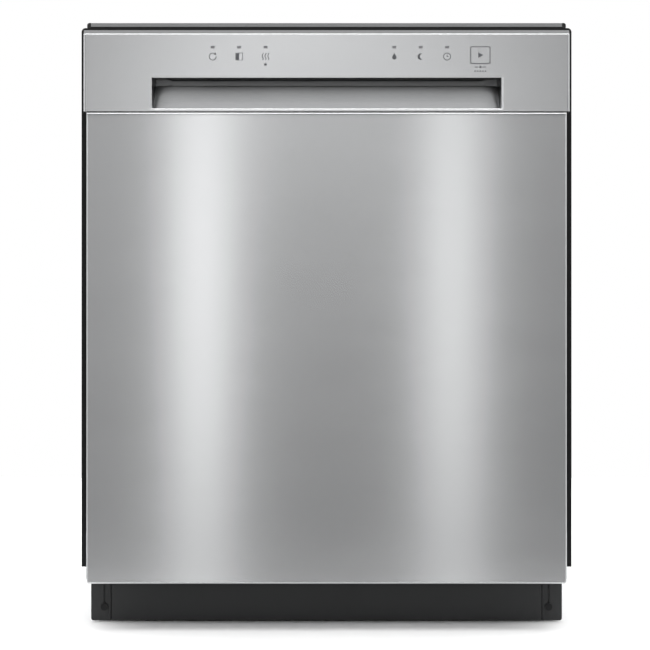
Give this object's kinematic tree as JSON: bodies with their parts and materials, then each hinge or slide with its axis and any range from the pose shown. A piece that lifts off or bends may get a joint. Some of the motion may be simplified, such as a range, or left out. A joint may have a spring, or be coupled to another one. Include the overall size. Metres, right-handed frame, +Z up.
{
  "type": "built-in dishwasher",
  "caption": "Under-counter dishwasher with a brushed steel drop-down door, front controls, pocket handle, wire racks, spray arms and a recessed black plinth.",
  "frame": {"origin": "centre of the overall box at floor level, under the levelling feet", "axes": "+Z up, the door faces -Y, +X to the right seen from the front"},
  "size_m": [0.603, 0.62, 0.743],
  "materials": {
    "brushed_front": "horizontal brushed stainless",
    "pocket_steel": "satin formed steel",
    "inner_steel": "satin pressed stainless",
    "galvanised": "zinc coated sheet",
    "black_paint": "satin black paint",
    "grey_trim": "grey extrusion",
    "black_plastic": "moulded black",
    "tub_plastic": "light grey moulding",
    "grey_plastic": "mid grey moulding",
    "cap_blue": "blue moulding",
    "key_steel": "horizontal brushed stainless",
    "lens": "pale light bar",
    "rubber_seal": "black seal",
    "felt": "dark fibre felt",
    "heater_sheath": "dull nickel sheath",
    "coated_wire": "grey nylon coat"
  },
  "bodies": {
    "cabinet": {"tub": "tub_plastic", "front_frame": "black_paint", "top_trim_strip": "grey_trim", "trim_end_caps": "black_plastic", "door_gasket": "rubber_seal", "insulation_blanket": "felt", "side_frame_left": "galvanised", "side_frame_right": "galvanised", "rear_crossbar": "galvanised", "base_pan": "galvanised", "front_feet": "galvanised", "rear_feet": "galvanised", "hinge_pins": "galvanised", "toe_kick_panel": "black_paint", "toe_kick_brackets": "black_paint", "toe_kick_screws": "black_paint", "counter_brackets": "galvanised", "latch_strike": "galvanised", "sump": "tub_plastic", "wash_pump": "black_plastic", "drain_pump": "black_plastic", "drain_outlet": "grey_plastic", "inlet_valve": "grey_plastic", "junction_box": "black_plastic", "heater_element": "heater_sheath", "fine_filter": "grey_plastic", "spray_hub": "grey_plastic", "water_feed_tube": "grey_plastic", "top_spray_nozzle": "grey_plastic", "upper_roller_studs": "galvanised"},
    "door": {"door_panel": "brushed_front", "control_fascia": "brushed_front", "handle_pocket": "pocket_steel", "door_insulation": "felt", "door_liner": "inner_steel", "hinge_arms": "galvanised", "control_board_housing": "black_plastic", "indicator_leds": "lens", "latch_housing": "black_plastic", "dispenser_body": "grey_plastic", "door_vent": "grey_plastic"},
    "start_key": {"start_button": "key_steel"},
    "catch": {"door_latch": "black_plastic"},
    "lid": {"dispenser_lid": "grey_plastic"},
    "cap": {"rinse_cap": "cap_blue"},
    "lower_rack": {"lower_rack": "coated_wire", "lower_tine_rows": "coated_wire", "lower_wheel_carriers": "grey_plastic", "silverware_basket": "grey_plastic"},
    "upper_rack": {"upper_rack": "coated_wire", "upper_rack_rails": "grey_plastic", "upper_spray_manifold": "grey_plastic"},
    "front_wheels": {"lower_wheels_front": "grey_plastic"},
    "rear_wheels": {"lower_wheels_rear": "grey_plastic"},
    "low_rollers": {"upper_rollers_low": "grey_plastic"},
    "high_rollers": {"upper_rollers_high": "grey_plastic"},
    "lower_arm": {"lower_spray_arm": "grey_plastic"},
    "upper_arm": {"upper_spray_arm": "grey_plastic"},
    "filter": {"coarse_filter": "grey_plastic"},
    "float": {"float": "grey_plastic"}
  },
  "joints": [
    {"name": "door_hinge", "type": "hinge", "parent": "cabinet", "child": "door", "pos_m": [0, -0.2654, 0.085], "axis": [1, 0, 0], "range_deg": [0, 90]},
    {"name": "start_press", "type": "slide", "parent": "door", "child": "start_key", "axis": [0, 1, 0], "range_m": [0, 0.0012], "stiffness_N_per_m": 600, "springref_m": -0.001},
    {"name": "catch_slide", "type": "slide", "parent": "door", "child": "catch", "axis": [0, 0, -1], "range_m": [0, 0.004], "stiffness_N_per_m": 400, "springref_m": -0.002},
    {"name": "lid_slide", "type": "slide", "parent": "door", "child": "lid", "axis": [0, 0, -1], "range_m": [0, 0.066]},
    {"name": "cap_turn", "type": "hinge", "parent": "door", "child": "cap", "pos_m": [0.052, -0.2254, 0.419], "axis": [0, 1, 0], "range_deg": [0, 90]},
    {"name": "lower_rack_slide", "type": "slide", "parent": "cabinet", "child": "lower_rack", "axis": [0, -1, 0], "range_m": [0, 0.2361]},
    {"name": "upper_rack_slide", "type": "slide", "parent": "cabinet", "child": "upper_rack", "axis": [0, -1, 0], "range_m": [0, 0.4168]},
    {"name": "front_wheel_roll", "type": "hinge", "parent": "lower_rack", "child": "front_wheels", "pos_m": [0, -0.06, 0.1393], "axis": [1, 0, 0], "range_deg": [0, 751]},
    {"name": "rear_wheel_roll", "type": "hinge", "parent": "lower_rack", "child": "rear_wheels", "pos_m": [0, 0.19, 0.1393], "axis": [1, 0, 0], "range_deg": [0, 751]},
    {"name": "low_roller_roll", "type": "hinge", "parent": "cabinet", "child": "low_rollers", "pos_m": [0, -0.194, 0.4797], "axis": [1, 0, 0], "range_deg": [0, 1988.5]},
    {"name": "high_roller_roll", "type": "hinge", "parent": "cabinet", "child": "high_rollers", "pos_m": [0, -0.17, 0.5203], "axis": [-1, 0, 0], "range_deg": [0, 1988.5]},
    {"name": "lower_arm_spin", "type": "hinge", "parent": "cabinet", "child": "lower_arm", "pos_m": [0, 0.0253, 0.1545], "axis": [0, 0, 1], "continuous": true},
    {"name": "upper_arm_spin", "type": "hinge", "parent": "upper_rack", "child": "upper_arm", "pos_m": [0, 0.0253, 0.3971], "axis": [0, 0, 1], "continuous": true},
    {"name": "filter_turn", "type": "hinge", "parent": "cabinet", "child": "filter", "pos_m": [0, -0.0147, 0.1], "axis": [0, 0, 1], "range_deg": [0, 60]},
    {"name": "float_lift", "type": "slide", "parent": "cabinet", "child": "float", "axis": [0, 0, 1], "range_m": [0, 0.006]}
  ],
  "couplings": [
    {"joint": "lower_rack_slide", "follows": "door_hinge", "m_per_rad": 0.15},
    {"joint": "upper_rack_slide", "follows": "door_hinge", "m_per_rad": 0.265},
    {"joint": "front_wheel_roll", "follows": "door_hinge", "ratio": 8.3333},
    {"joint": "rear_wheel_roll", "follows": "door_hinge", "ratio": 8.3333},
    {"joint": "low_roller_roll", "follows": "door_hinge", "ratio": 22.083},
    {"joint": "high_roller_roll", "follows": "door_hinge", "ratio": 22.083}
  ]
}
